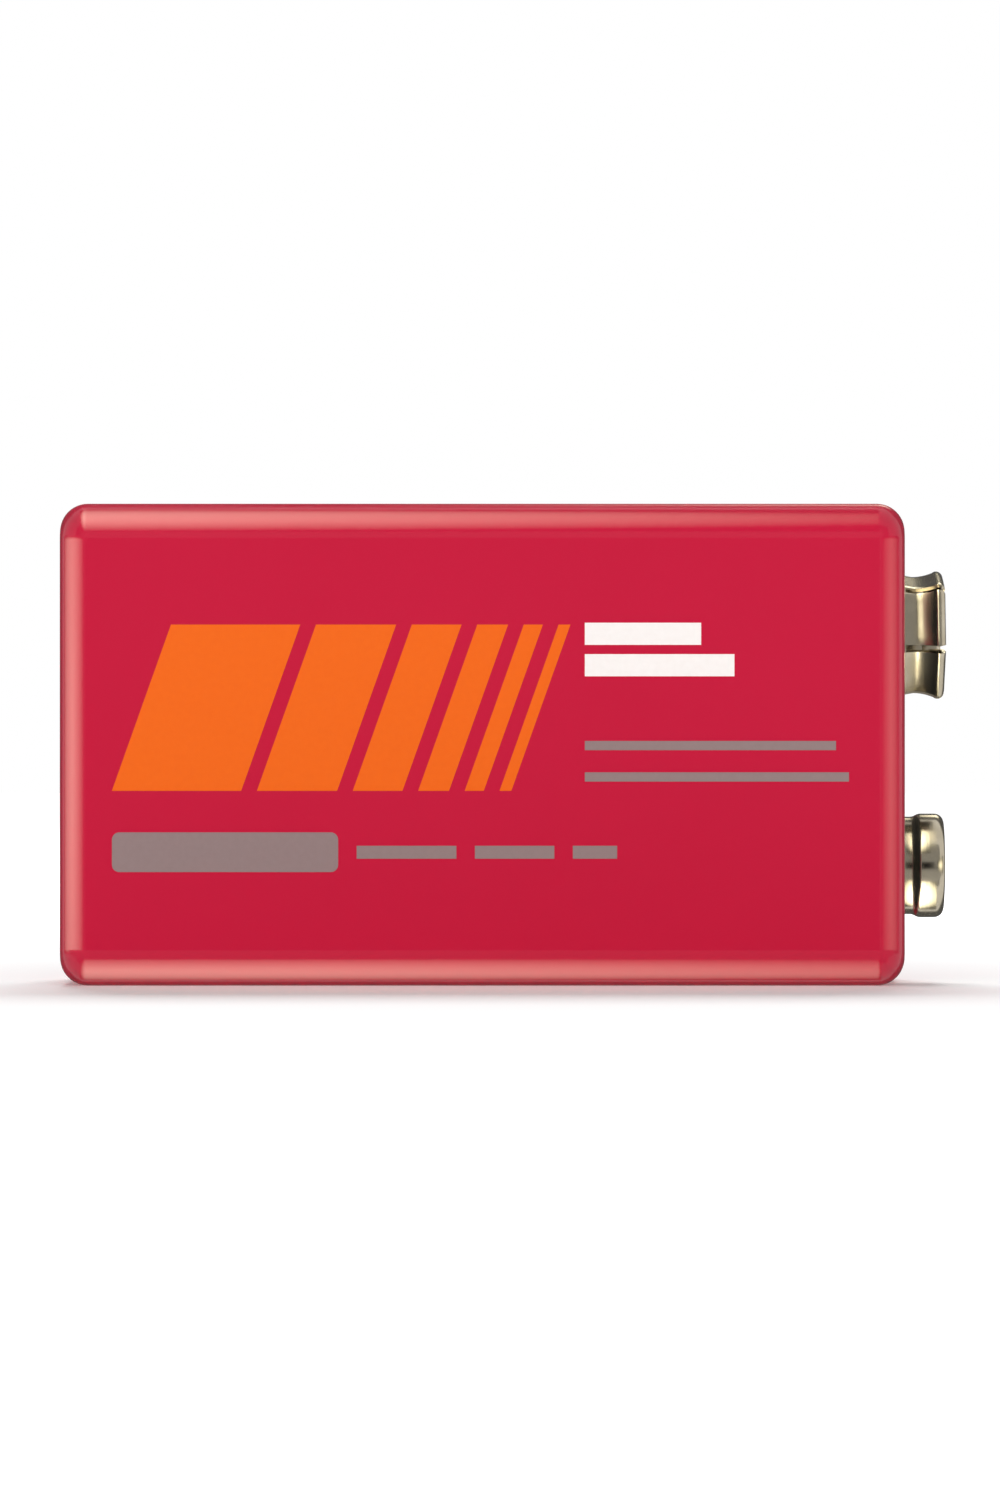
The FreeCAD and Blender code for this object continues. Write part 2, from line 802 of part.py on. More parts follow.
def make_cell_tray(name, station):
    """Paper tray: folded up round the cake, up to the band's upper lip."""
    height = lip_level - tray_level
    wall = size["tray_wall"]
    body = slab(name, station, layer_width, layer_depth, cell_clip, height)
    room = sketch_on(body, lift=wall)
    clipped_rectangle(room, cake_room_width, cake_room_depth, cell_clip)
    pocket(body, room, height - wall)


def make_cell_cake(name, station):
    """Mix cake: pressed black mix, with a raised pad that fills the upper mouth."""
    body = slab(name, station, cake_room_width - fit * 2, cake_room_depth - fit * 2, cell_clip,
                lip_level - cake_level)
    raised = sketch_on(body, lift=lip_level - cake_level)
    clipped_rectangle(raised, mouth_width - fit * 2, mouth_depth - fit * 2, cell_clip)
    pad(body, raised, lip)


def print_body(name):
    """Start a colour of the print, with a sketch on the jacket's front face."""
    body = new_body(name)
    return body, sketch_on(body, "XZ_Plane", -case_depth / 2)


def print_box(sketch, left, bottom, length, height, radius=None):
    """Draw a box of print, placed from the base end and from the lower narrow side."""
    low = bottom - case_width / 2
    outline(sketch, box_corners(low, low + height, left, left + length, radius))


def print_ink(body, sketch):
    """Give the print its thickness, outwards from the jacket."""
    pad(body, sketch, size["ink_thickness"], reverse=True)


def make_print_orange():
    """Orange print: slanted bars, each narrower than the one before."""
    body, sketch = print_body("print_orange")
    low = size["bar_bottom"] - case_width / 2
    high = low + size["bar_height"]
    left = size["print_left"]
    width = size["first_bar"]
    for bar in range(BAR_COUNT):
        right = left + width
        slant = size["bar_slant"]
        outline(sketch, [(low, left), (low, right), (high, right + slant), (high, left + slant)])
        left = right + size["bar_gap"]
        width = width * BAR_SHRINK
    print_ink(body, sketch)


def make_print_white():
    """White print: two bars, the upper one shorter."""
    body, sketch = print_body("print_white")
    left = size["text_left"]
    bottom = size["caption_bottom"]
    height = size["caption_height"]
    upper = bottom + height + size["caption_gap"]
    print_box(sketch, left, bottom, size["caption_long"], height)
    print_box(sketch, left, upper, size["caption_short"], height)
    print_ink(body, sketch)


def make_print_grey():
    """Grey print: a plain badge, three dashes beside it and two thin rules."""
    body, sketch = print_body("print_grey")
    print_box(sketch, size["print_left"], size["badge_bottom"], size["badge_length"],
              size["badge_height"], size["badge_corner"])
    left = size["print_left"] + size["badge_length"] + size["dash_gap"]
    bottom = size["badge_bottom"] + (size["badge_height"] - size["dash_height"]) / 2
    for name in ("dash_long", "dash_middle", "dash_short"):
        print_box(sketch, left, bottom, size[name], size["dash_height"])
        left = left + size[name] + size["dash_gap"]
    bottom = size["rule_bottom"]
    for name in ("rule_long", "rule_short"):
        print_box(sketch, size["text_left"], bottom, size[name], size["rule_height"])
        bottom = bottom + size["rule_height"] + size["rule_gap"]
    print_ink(body, sketch)


def check_model():
    """Stop if anything failed, is no valid solid, or is a cut that removed nothing."""
    for thing in doc.Objects:
        if "Invalid" in thing.State or "Error" in thing.State:
            raise RuntimeError(f"{thing.Label} did not recompute: {thing.State}")
    for body in pieces:
        shape = body.Shape
        if shape.isNull() or not shape.isValid() or not shape.Solids:
            raise RuntimeError(f"{body.Label} is not a valid solid")
        for feature in body.Group:
            if feature.TypeId == "PartDesign::Pocket":
                before = feature.BaseFeature.Shape.Volume
                if feature.Shape.Volume > before - SAME_PLACE:
                    raise RuntimeError(f"{feature.Name} in {body.Label} removed nothing")


def write_parts():
    """Write each piece to a file of its own."""
    os.makedirs("parts", exist_ok=True)
    for body in pieces:
        body.Shape.exportStep(os.path.join("parts", f"{body.Label}.step"))


make_jacket()
make_bottom_plate()
make_top_plate()
make_positive_stud()
make_rivet("positive_rivet", positive_across)
make_negative_socket()
make_rivet("negative_rivet", negative_across)
make_positive_tab()
make_negative_strip()
make_top_contact_plate()
make_top_spacer()
make_bottom_card()
make_jacket_liner()
make_wax_coat()
for number in range(CELL_COUNT):
    make_cell(f"cell_{number + 1}", stack_start + size["cell_height"] * number)
make_print_orange()
make_print_white()
make_print_grey()
doc.recompute()
check_model()
write_parts()
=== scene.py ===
import math

import bmesh
import bpy
from mathutils import Matrix, Vector


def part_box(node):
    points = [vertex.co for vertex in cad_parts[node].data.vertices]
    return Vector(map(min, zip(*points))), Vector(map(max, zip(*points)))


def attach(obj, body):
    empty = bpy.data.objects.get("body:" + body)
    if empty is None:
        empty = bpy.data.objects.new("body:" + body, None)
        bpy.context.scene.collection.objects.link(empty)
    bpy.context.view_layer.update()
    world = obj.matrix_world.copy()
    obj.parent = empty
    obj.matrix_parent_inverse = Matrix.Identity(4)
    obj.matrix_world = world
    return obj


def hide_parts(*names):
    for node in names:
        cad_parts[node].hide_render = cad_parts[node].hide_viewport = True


# A nine volt battery on its long narrow side: +X runs from the base to the terminals, +Z is up
# and -Y is the printed front. Sizes are millimetres times MM, and Blender's unit is the metre.
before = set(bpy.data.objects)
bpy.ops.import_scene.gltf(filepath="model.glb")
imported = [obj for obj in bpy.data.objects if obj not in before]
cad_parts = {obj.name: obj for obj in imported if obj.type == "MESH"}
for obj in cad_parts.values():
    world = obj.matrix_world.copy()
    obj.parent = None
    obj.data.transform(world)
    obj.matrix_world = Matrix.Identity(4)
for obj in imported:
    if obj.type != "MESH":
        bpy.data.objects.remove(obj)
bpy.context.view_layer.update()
MM = 0.001


# Jacket
# The jacket is tinplate 0.25 mm thick, printed and lacquered flat, rolled round the stack and
# lapped along one narrow side. Both ends are turned over the end plates to hold them.
SHEET = 0.25 * MM
CASE_CORNER = 2.0 * MM
RIM_BEND = 1.5 * MM
RIM_WIDTH = 2.4 * MM
WINDOW_CORNER = 1.8 * MM
LIP_DISH = 0.04 * MM
SEAM_ACROSS = 4.0 * MM
SEAM_WIDTH = 0.16 * MM
SEAM_DEPTH = 0.12 * MM
CORNER_STEPS = 12
BEND_STEPS = 12
NEAR = 0.01 * MM
CUT_WITHIN = NEAR / 100
SHARP_ANGLE = math.radians(40)

case_low, case_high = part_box("metal_jacket")
case_size = case_high - case_low
case_middle = (case_low + case_high) / 2
window_half_width = case_size.y / 2 - RIM_WIDTH
window_half_height = case_size.z / 2 - RIM_WIDTH


def edges_where(mesh, test):
    """Pick the edges both of whose ends pass a test."""
    return [edge for edge in mesh.edges if all(test(vert.co) for vert in edge.verts)]


def round_off(mesh, parts, width, steps, affect="EDGES"):
    """Round edges, or the corners at vertices, to an arc and give back its vertices."""
    made = bmesh.ops.bevel(mesh, geom=list(parts), offset=width, offset_type="OFFSET",
                           segments=steps, profile=0.5, affect=affect, material=-1,
                           clamp_overlap=False)
    return made["verts"]


def rounded_face(mesh, station, half_width, half_height, corner):
    """Add a rounded rectangle that lies across the battery at a station."""
    corners = [mesh.verts.new((station, half_width * side, case_middle.z + half_height * up))
               for side, up in ((-1, -1), (1, -1), (1, 1), (-1, 1))]
    mesh.faces.new(corners)
    return round_off(mesh, corners, corner, CORNER_STEPS, "VERTICES")[0].link_faces[0]


def open_face(mesh, face):
    """Take a face away and give back the loop of edges it leaves."""
    loop = list(face.edges)
    bmesh.ops.delete(mesh, geom=[face], context="FACES_ONLY")
    return loop


def finish_piece(name, mesh, materials, replaced=None):
    """Make an object of a mesh, smooth but for its sharp edges, and tie it to the frame."""
    mesh.normal_update()
    for edge in mesh.edges:
        edge.smooth = edge.is_manifold and edge.calc_face_angle() < SHARP_ANGLE
    for face in mesh.faces:
        face.smooth = True
    data = bpy.data.meshes.new(name)
    mesh.to_mesh(data)
    mesh.free()
    for material in materials:
        data.materials.append(material)
    piece = bpy.data.objects.new(name, data)
    bpy.context.collection.objects.link(piece)
    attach(piece, "root")
    if replaced:
        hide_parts(replaced)
    return piece


def add_modifier(piece, kind, **settings):
    """Add a modifier with its settings."""
    modifier = piece.modifiers.new(kind.title(), kind)
    for setting, value in settings.items():
        setattr(modifier, setting, value)


def linear(hex_colour):
    """Turn an sRGB hex colour into the linear colour that a shader takes."""
    colour = []
    for start in (1, 3, 5):
        value = int(hex_colour[start:start + 2], 16) / 255
        colour.append(value / 12.92 if value <= 0.04045 else ((value + 0.055) / 1.055) ** 2.4)
    return (*colour, 1.0)


def new_material(name):
    """Start a material with an empty tree."""
    material = bpy.data.materials.new(name)
    material.use_nodes = True
    material.node_tree.nodes.clear()
    return material, material.node_tree


def add_node(tree, kind, values=None, links=None, **settings):
    """Add a node with its settings, its values and its links from other nodes' outputs."""
    node = tree.nodes.new(kind)
    for setting, value in settings.items():
        setattr(node, setting, value)
    for socket, value in (values or {}).items():
        node.inputs[socket].default_value = value
    for socket, source in (links or {}).items():
        tree.links.new(source, node.inputs[socket])
    return node


# Lacquered tinplate: ink rolled onto tin and stoved under a clear coat. The sheet is flat and
# glossy, with a faint orange peel and the finest drift in the depth of the red.
LACQUER_RED = "#c5123a"
LACQUER_DEEP = "#c01036"
ORANGE_PEEL = 0.9 * MM
PEEL_DEPTH = 0.003 * MM
RED_DRIFT = 14.0 * MM
LACQUER = {"Roughness": 0.3, "IOR": 1.5, "Specular IOR Level": 0.2, "Coat Weight": 0.5,
           "Coat Roughness": 0.05}

# How many finer layers a noise has: the more of them, the rougher its forms
RIPPLE_DETAIL = 1.0
LINE_DETAIL = 2.0
GRAIN_DETAIL = 3.0


def lacquered(name, full, thin, patch):
    """Make a printed colour under the clear lacquer, uneven over patches of a size."""
    material, tree = new_material(name)
    place = {"Vector": add_node(tree, "ShaderNodeTexCoord").outputs["Object"]}
    patches = add_node(tree, "ShaderNodeTexNoise",
                       {"Scale": 1 / patch, "Detail": GRAIN_DETAIL}, place)
    colour = add_node(tree, "ShaderNodeMix", {"A": linear(full), "B": linear(thin)},
                      {"Factor": patches.outputs["Fac"]}, data_type="RGBA")
    ripple = add_node(tree, "ShaderNodeTexNoise",
                      {"Scale": 1 / ORANGE_PEEL, "Detail": RIPPLE_DETAIL}, place)
    peel = add_node(tree, "ShaderNodeBump", {"Strength": 1.0, "Distance": PEEL_DEPTH},
                    {"Height": ripple.outputs["Fac"]}).outputs["Normal"]
    shader = add_node(tree, "ShaderNodeBsdfPrincipled", LACQUER,
                      {"Base Color": colour.outputs["Result"], "Normal": peel,
                       "Coat Normal": peel})
    add_node(tree, "ShaderNodeOutputMaterial", links={"Surface": shader.outputs["BSDF"]})
    return material


# Bare tin: the cut edge and the inside of the same sheet, grey, with the lines of its rolling,
# which are drawn coarser than the real ones so that they show
TIN = "#b9b6ae"
TIN_ROUGHNESS = {"To Min": 0.25, "To Max": 0.45}
ROLLING_LINE = 0.08 * MM
ROLLING_STRETCH = (0.05, 1.0, 1.0)

bare_tin, tree = new_material("bare_tin")
place = add_node(tree, "ShaderNodeTexCoord").outputs["Object"]
drawn_out = add_node(tree, "ShaderNodeMapping", {"Scale": ROLLING_STRETCH}, {"Vector": place})
lines = add_node(tree, "ShaderNodeTexNoise", {"Scale": 1 / ROLLING_LINE, "Detail": LINE_DETAIL},
                 {"Vector": drawn_out.outputs["Vector"]})
rough = add_node(tree, "ShaderNodeMapRange", TIN_ROUGHNESS, {"Value": lines.outputs["Fac"]})
shader = add_node(tree, "ShaderNodeBsdfPrincipled", {"Base Color": linear(TIN), "Metallic": 1.0},
                  {"Roughness": rough.outputs["Result"]})
add_node(tree, "ShaderNodeOutputMaterial", links={"Surface": shader.outputs["BSDF"]})

# The closed block of the jacket's outside, its long corners and then its rims rounded
jacket = bmesh.new()
block = bmesh.ops.create_cube(jacket, size=1.0)["verts"]
bmesh.ops.scale(jacket, vec=case_size, verts=block)
bmesh.ops.translate(jacket, vec=case_middle, verts=block)
long_edges = [edge for edge in jacket.edges if edge.calc_length() > case_size.z + NEAR]
round_off(jacket, long_edges, CASE_CORNER, CORNER_STEPS)
for end in (case_low.x, case_high.x):
    rim_edges = edges_where(jacket, lambda point: abs(point.x - end) < NEAR)
    round_off(jacket, rim_edges, RIM_BEND, BEND_STEPS)

# Each end is opened by a rounded window, and the rim's lip runs up to it, pressed in a little
for end, inwards in ((case_low.x, 1), (case_high.x, -1)):
    at_end = [face for face in jacket.faces if abs(face.calc_center_median().x - end) < NEAR]
    end_face = max(at_end, key=lambda face: face.calc_area())
    lip_outside = open_face(jacket, end_face)
    window = rounded_face(jacket, end + LIP_DISH * inwards, window_half_width,
                          window_half_height, WINDOW_CORNER)
    lip_inside = open_face(jacket, window)
    bmesh.ops.bridge_loops(jacket, edges=lip_outside + lip_inside)

# The outer edge of the lap shows as a fine groove along the upper side and over both rims
for across in (-SEAM_WIDTH / 2, 0, SEAM_WIDTH / 2):
    upper = [vert for vert in jacket.verts if vert.co.z > case_middle.z]
    upper += edges_where(jacket, lambda point: point.z > case_middle.z)
    upper += [face for face in jacket.faces if face.calc_center_median().z > case_middle.z]
    bmesh.ops.bisect_plane(jacket, geom=upper, plane_co=Vector((0, SEAM_ACROSS + across, 0)),
                           plane_no=Vector((0, 1, 0)), dist=CUT_WITHIN)
bmesh.ops.recalc_face_normals(jacket, faces=jacket.faces)
jacket.normal_update()
for vert in jacket.verts:
    if abs(vert.co.y - SEAM_ACROSS) < NEAR and vert.co.z > case_middle.z:
        vert.co -= vert.normal * SEAM_DEPTH

red_lacquer = lacquered("red_lacquered_tinplate", LACQUER_RED, LACQUER_DEEP, RED_DRIFT)
jacket_piece = finish_piece("jacket", jacket, [red_lacquer, bare_tin],
                            "metal_jacket")
add_modifier(jacket_piece, "SOLIDIFY", thickness=SHEET, offset=-1.0, material_offset=1,
             material_offset_rim=1)
add_modifier(jacket_piece, "WEIGHTED_NORMAL", keep_sharp=True)


# Print
# Orange, white and grey inks lie in the same lacquer as the red, so they share its gloss and
# orange peel. Each has a faint speckle where the roller laid it thinner.
ROLLER_SPECKLE = 0.35 * MM
INKS = {
    "print_orange": ("orange_ink", "#f26a14", "#ee6410"),
    "print_white": ("white_ink", "#fbf7f4", "#f4eeea"),
    "print_grey": ("grey_ink", "#958180", "#8e7a79"),
}


def dress(node, material):
    """Give a CAD node its finish."""
    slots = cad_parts[node].data.materials
    slots.clear()
    slots.append(material)


for node, (ink, full, thin) in INKS.items():
    dress(node, lacquered(ink, full, thin, ROLLER_SPECKLE))


# Top plate
# A black board, moulded with a fine grain and held under the jacket's rim. Both terminals are
# riveted to it. A plus and a minus stand up from it beside their terminals.
MARK_HALF = 0.8 * MM
STROKE_HALF = 0.2 * MM
MARK_HEIGHT = 0.22 * MM
MARK_OUT = 4.95 * MM
MARK_EDGE = 0.07 * MM
MARK_EDGE_STEPS = 2

# Black moulded plastic: matt, with the fine grain of its mould, and dulled in patches
PLASTIC_BLACK = "#17171a"
PLASTIC_WORN = "#232326"
PLASTIC = {"IOR": 1.53, "Specular IOR Level": 0.25}
PLASTIC_ROUGHNESS = {"To Min": 0.42, "To Max": 0.62}
MOULD_GRAIN = 0.18 * MM
GRAIN_DEPTH = 0.01 * MM
DULL_PATCH = 5.0 * MM

plastic, tree = new_material("black_moulded_plastic")
place = {"Vector": add_node(tree, "ShaderNodeTexCoord").outputs["Object"]}
patches = add_node(tree, "ShaderNodeTexNoise",
                   {"Scale": 1 / DULL_PATCH, "Detail": GRAIN_DETAIL}, place).outputs["Fac"]
rough = add_node(tree, "ShaderNodeMapRange", PLASTIC_ROUGHNESS, {"Value": patches})
black = add_node(tree, "ShaderNodeMix", {"A": linear(PLASTIC_BLACK), "B": linear(PLASTIC_WORN)},
                 {"Factor": patches}, data_type="RGBA")
grain = add_node(tree, "ShaderNodeTexNoise",
                 {"Scale": 1 / MOULD_GRAIN, "Detail": GRAIN_DETAIL}, place)
bump = add_node(tree, "ShaderNodeBump", {"Strength": 1.0, "Distance": GRAIN_DEPTH},
                {"Height": grain.outputs["Fac"]})
shader = add_node(tree, "ShaderNodeBsdfPrincipled", PLASTIC,
                  {"Base Color": black.outputs["Result"], "Roughness": rough.outputs["Result"],
                   "Normal": bump.outputs["Normal"]})
add_node(tree, "ShaderNodeOutputMaterial", links={"Surface": shader.outputs["BSDF"]})
dress("top_plate", plastic)

plate_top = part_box("top_plate")[1].x
stud_low, stud_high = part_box("positive_stud")
socket_low, socket_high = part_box("negative_socket")
stud_level = (stud_low.z + stud_high.z) / 2
socket_level = (socket_low.z + socket_high.z) / 2

# The outlines of the two marks about their middles, a quarter of each at a time
quarters = ((1, 1), (1, -1), (-1, -1), (-1, 1))
arm = [(STROKE_HALF, MARK_HALF), (STROKE_HALF, STROKE_HALF), (MARK_HALF, STROKE_HALF)]
plus = [(y * across, z * up) for across, up in quarters for y, z in arm[::across * up]]
minus = [(MARK_HALF * across, STROKE_HALF * up) for across, up in quarters]

marks = bmesh.new()
for level, outline in ((stud_level, plus), (socket_level, minus)):
    mark = marks.faces.new([marks.verts.new((plate_top, y - MARK_OUT, level + z))
                            for y, z in outline])
    grown = bmesh.ops.extrude_face_region(marks, geom=[mark], use_keep_orig=True)["geom"]
    raised = [part for part in grown if isinstance(part, bmesh.types.BMVert)]
    bmesh.ops.translate(marks, vec=Vector((MARK_HEIGHT, 0, 0)), verts=raised)
bmesh.ops.recalc_face_normals(marks, faces=marks.faces)
mark_rims = edges_where(marks, lambda point: point.x > plate_top + NEAR)
round_off(marks, mark_rims, MARK_EDGE, MARK_EDGE_STEPS)
finish_piece("polarity_marks", marks, [plastic])


# Bottom plate
# A moulded plate of the same plastic in the other rim. Its middle is sunk by 0.3 mm, so that
# the battery stands on its rim, and the mould's gate left a small round mark there.
PLATE_CORNER = 1.65 * MM
RECESS_BORDER = 0.9 * MM
RECESS_CORNER = 1.35 * MM
RECESS_DEPTH = 0.3 * MM
RECESS_EDGE = 0.12 * MM
RECESS_EDGE_STEPS = 3
HIDDEN_BEND = 1.4 * MM
HIDDEN_BEND_STEPS = 4
GATE_RADIUS = 1.1 * MM
GATE_HEIGHT = 0.1 * MM
GATE_SIDES = 32
GATE_EDGE_STEPS = 2

# Turns a piece that was made upright, with z along the battery from the base
ALONG_BATTERY = Matrix(((0, 0, 1, 0), (0, -1, 0, 0), (1, 0, 0, 0), (0, 0, 0, 1)))

base_low, base_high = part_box("bottom_plate")
base_half = (base_high - base_low) / 2


def push_out(mesh, face, along):
    """Extrude a face along the battery, take the face away and give back its loop."""
    grown = bmesh.ops.extrude_face_region(mesh, geom=[face])["geom"]
    verts = [part for part in grown if isinstance(part, bmesh.types.BMVert)]
    bmesh.ops.translate(mesh, vec=Vector((along, 0, 0)), verts=verts)
    return open_face(mesh, face)


base = bmesh.new()
plate_face = rounded_face(base, base_low.x, base_half.y, base_half.z, PLATE_CORNER)
border_outside = push_out(base, plate_face, base_half.x * 2)
recess_face = rounded_face(base, base_low.x + LIP_DISH, window_half_width - RECESS_BORDER,
                           window_half_height - RECESS_BORDER, RECESS_CORNER)
border_inside = push_out(base, recess_face, RECESS_DEPTH - LIP_DISH)
bmesh.ops.bridge_loops(base, edges=border_outside + border_inside)
bmesh.ops.recalc_face_normals(base, faces=base.faces)
round_off(base, border_inside, RECESS_EDGE, RECESS_EDGE_STEPS)
round_off(base, border_outside, HIDDEN_BEND, HIDDEN_BEND_STEPS)
gate_place = Matrix.Translation((base_low.x + RECESS_DEPTH, 0, case_middle.z)) @ ALONG_BATTERY
gate = bmesh.ops.create_cone(base, cap_ends=True, segments=GATE_SIDES, radius1=GATE_RADIUS,
                             radius2=GATE_RADIUS, depth=GATE_HEIGHT * 2, matrix=gate_place)
gate_rims = {edge for vert in gate["verts"] for edge in vert.link_edges
             if abs(edge.verts[0].co.x - edge.verts[1].co.x) < NEAR}
round_off(base, gate_rims, GATE_HEIGHT / 2, GATE_EDGE_STEPS)
bmesh.ops.recalc_face_normals(base, faces=base.faces)
base_piece = finish_piece("bottom_moulding", base, [plastic],
                          "bottom_plate")
add_modifier(base_piece, "WEIGHTED_NORMAL", keep_sharp=True)


# Positive stud
# A cup of nickel-plated steel, drawn from one disc: a flange on the plate, a neck, a slightly
# wider head that the connector's socket snaps over, and a dimple down to the rivet.
STUD_SHEET = 0.25 * MM
FLANGE_RADIUS = 3.1 * MM
NECK_RADIUS = 2.69 * MM
NECK_HEIGHT = 1.2 * MM
HEAD_RADIUS = 2.86 * MM
HEAD_SLOPE = 0.25 * MM
HEAD_ROUND = 0.5 * MM
HEAD_STEPS = 8
DIMPLE_RADIUS = 1.75 * MM
DIMPLE_ROUND = 0.4 * MM
DIMPLE_STEPS = 6
HOLE_RADIUS = 1.05 * MM
ROOT_ROUND = 0.2 * MM
ROOT_STEPS = 4
NECK_ROUND = 0.15 * MM
NECK_STEPS = 3
SPIN_STEPS = 72
MERGE_WITHIN = NEAR / 10

# Nickel on drawn steel: a warm grey mirror, dulled in places, with fine lines round it from
# the die that drew it, coarser than the real ones so that they show
NICKEL = "#cfc6b3"
NICKEL_DULL = "#a3977f"
NICKEL_ROUGHNESS = {"To Min": 0.1, "To Max": 0.28}
DIE_LINE = 0.12 * MM
DIE_STRETCH = (1.0, 0.04, 0.04)
LINE_DEPTH = 0.002 * MM
TARNISH = 1.6 * MM
STAIN_DETAIL = 4.0

nickel, tree = new_material("nickel_plated_steel")
place = {"Vector": add_node(tree, "ShaderNodeTexCoord").outputs["Object"]}
stains = add_node(tree, "ShaderNodeTexNoise",
                  {"Scale": 1 / TARNISH, "Detail": STAIN_DETAIL}, place).outputs["Fac"]
rough = add_node(tree, "ShaderNodeMapRange", NICKEL_ROUGHNESS, {"Value": stains})
metal = add_node(tree, "ShaderNodeMix", {"A": linear(NICKEL), "B": linear(NICKEL_DULL)},
                 {"Factor": stains}, data_type="RGBA")
drawn_out = add_node(tree, "ShaderNodeMapping", {"Scale": DIE_STRETCH}, place)
lines = add_node(tree, "ShaderNodeTexNoise", {"Scale": 1 / DIE_LINE, "Detail": LINE_DETAIL},
                 {"Vector": drawn_out.outputs["Vector"]})
bump = add_node(tree, "ShaderNodeBump", {"Strength": 1.0, "Distance": LINE_DEPTH},
                {"Height": lines.outputs["Fac"]})
shader = add_node(tree, "ShaderNodeBsdfPrincipled", {"Metallic": 1.0},
                  {"Base Color": metal.outputs["Result"], "Roughness": rough.outputs["Result"],
                   "Normal": bump.outputs["Normal"]})
add_node(tree, "ShaderNodeOutputMaterial", links={"Surface": shader.outputs["BSDF"]})


def turn_profile(points, closed=False):
    """Turn a profile of (radius, height) points about the z axis."""
    mesh = bmesh.new()
    verts = [mesh.verts.new((radius, 0, height)) for radius, height in points]
    edges = [mesh.edges.new(pair) for pair in zip(verts, verts[1:])]
    if closed:
        edges.append(mesh.edges.new((verts[-1], verts[0])))
    bmesh.ops.spin(mesh, geom=verts + edges, cent=(0, 0, 0), axis=(0, 0, 1),
                   angle=math.radians(360), steps=SPIN_STEPS, use_merge=True)
    bmesh.ops.remove_doubles(mesh, verts=mesh.verts, dist=MERGE_WITHIN)
    return mesh


def round_ring(mesh, radius, height, width, steps):
    """Round the ring of edges that a corner of the profile made."""
    ring = edges_where(mesh, lambda point: abs(math.hypot(point.x, point.y) - radius) < NEAR
                       and abs(point.z - height) < NEAR)
    round_off(mesh, ring, width, steps)


def face_top_outwards(mesh):
    """Make the faces of a turned sheet consistent, with the one at the top facing up."""
    bmesh.ops.recalc_face_normals(mesh, faces=mesh.faces)
    if max(mesh.faces, key=lambda face: face.calc_center_median().z).normal.z < 0:
        bmesh.ops.reverse_faces(mesh, faces=mesh.faces)


def place_upright(mesh, station, level, turn=0.0):
    """Move a mesh that was made upright to its place along and across the battery."""
    move = Matrix.Translation((station, 0, level)) @ ALONG_BATTERY @ Matrix.Rotation(turn, 4, "Z")
    bmesh.ops.transform(mesh, verts=mesh.verts, matrix=move)


terminal_height = stud_high.x - stud_low.x
slope_end = NECK_HEIGHT + HEAD_SLOPE
stud = turn_profile([
    (FLANGE_RADIUS, STUD_SHEET),
    (NECK_RADIUS, STUD_SHEET),
    (NECK_RADIUS, NECK_HEIGHT),
    (HEAD_RADIUS, slope_end),
    (HEAD_RADIUS, terminal_height),
    (DIMPLE_RADIUS, terminal_height),
    (DIMPLE_RADIUS, STUD_SHEET),
    (HOLE_RADIUS, STUD_SHEET),
])
round_ring(stud, NECK_RADIUS, STUD_SHEET, ROOT_ROUND, ROOT_STEPS)
round_ring(stud, NECK_RADIUS, NECK_HEIGHT, NECK_ROUND, NECK_STEPS)
round_ring(stud, HEAD_RADIUS, slope_end, NECK_ROUND, NECK_STEPS)
round_ring(stud, HEAD_RADIUS, terminal_height, HEAD_ROUND, HEAD_STEPS)
round_ring(stud, DIMPLE_RADIUS, terminal_height, DIMPLE_ROUND, DIMPLE_STEPS)
round_ring(stud, DIMPLE_RADIUS, STUD_SHEET, ROOT_ROUND, ROOT_STEPS)
face_top_outwards(stud)
place_upright(stud, stud_low.x, stud_level)
stud_piece = finish_piece("drawn_stud", stud, [nickel], "positive_stud")
add_modifier(stud_piece, "SOLIDIFY", thickness=STUD_SHEET, offset=-1.0)


# Negative socket
# A crown of thinner plated sheet, pressed to six sides. Its wall is waisted, then swells to a
# bead and rolls over into a round throat, and six slits let the petals spring over the stud.
SOCKET_SHEET = 0.2 * MM
SOCKET_TURN = math.radians(13.7)
SOCKET_SIDES = 6
SOCKET_HALF_FLATS = 3.13 * MM
SOCKET_CORNER = 0.65 * MM
CORNER_STRIPS = 5
FLAT_CUTS = 7
FOOT_BEND = 0.12 * MM
WAIST_HALF_FLATS = 2.96 * MM
WAIST_HEIGHT = 1.2 * MM
WAIST_STEPS = 6
BEAD_HALF_FLATS = 3.25 * MM
BEAD_RADIUS = 0.36 * MM
BEAD_START = math.radians(-40)
BEAD_END = math.radians(90)
BEAD_STEPS = 8
THROAT_RADIUS = 2.72 * MM
THROAT_MOUTH = 2.62 * MM
THROAT_END = 1.94 * MM
MOUTH_DROP = BEAD_RADIUS / 4
SLIT_REACH = 0.17 * MM
SLIT_FLOOR = 0.7 * MM
PETAL_EDGE = 0.03 * MM
PETAL_EDGE_STEPS = 2
PETAL_EDGE_ANGLE = math.radians(60)


def raise_loop(mesh, loop, height, stretch=1.0):
    """Extrude a loop of edges to a height, stretched about the axis, and give the new loop."""
    grown = bmesh.ops.extrude_edge_only(mesh, edges=loop)["geom"]
    verts = [part for part in grown if isinstance(part, bmesh.types.BMVert)]
    bmesh.ops.scale(mesh, vec=(stretch, stretch, 1), verts=verts)
    for vert in verts:
        vert.co.z = height
    new = set(verts)
    return [part for part in grown if isinstance(part, bmesh.types.BMEdge)
            and new.issuperset(part.verts)]


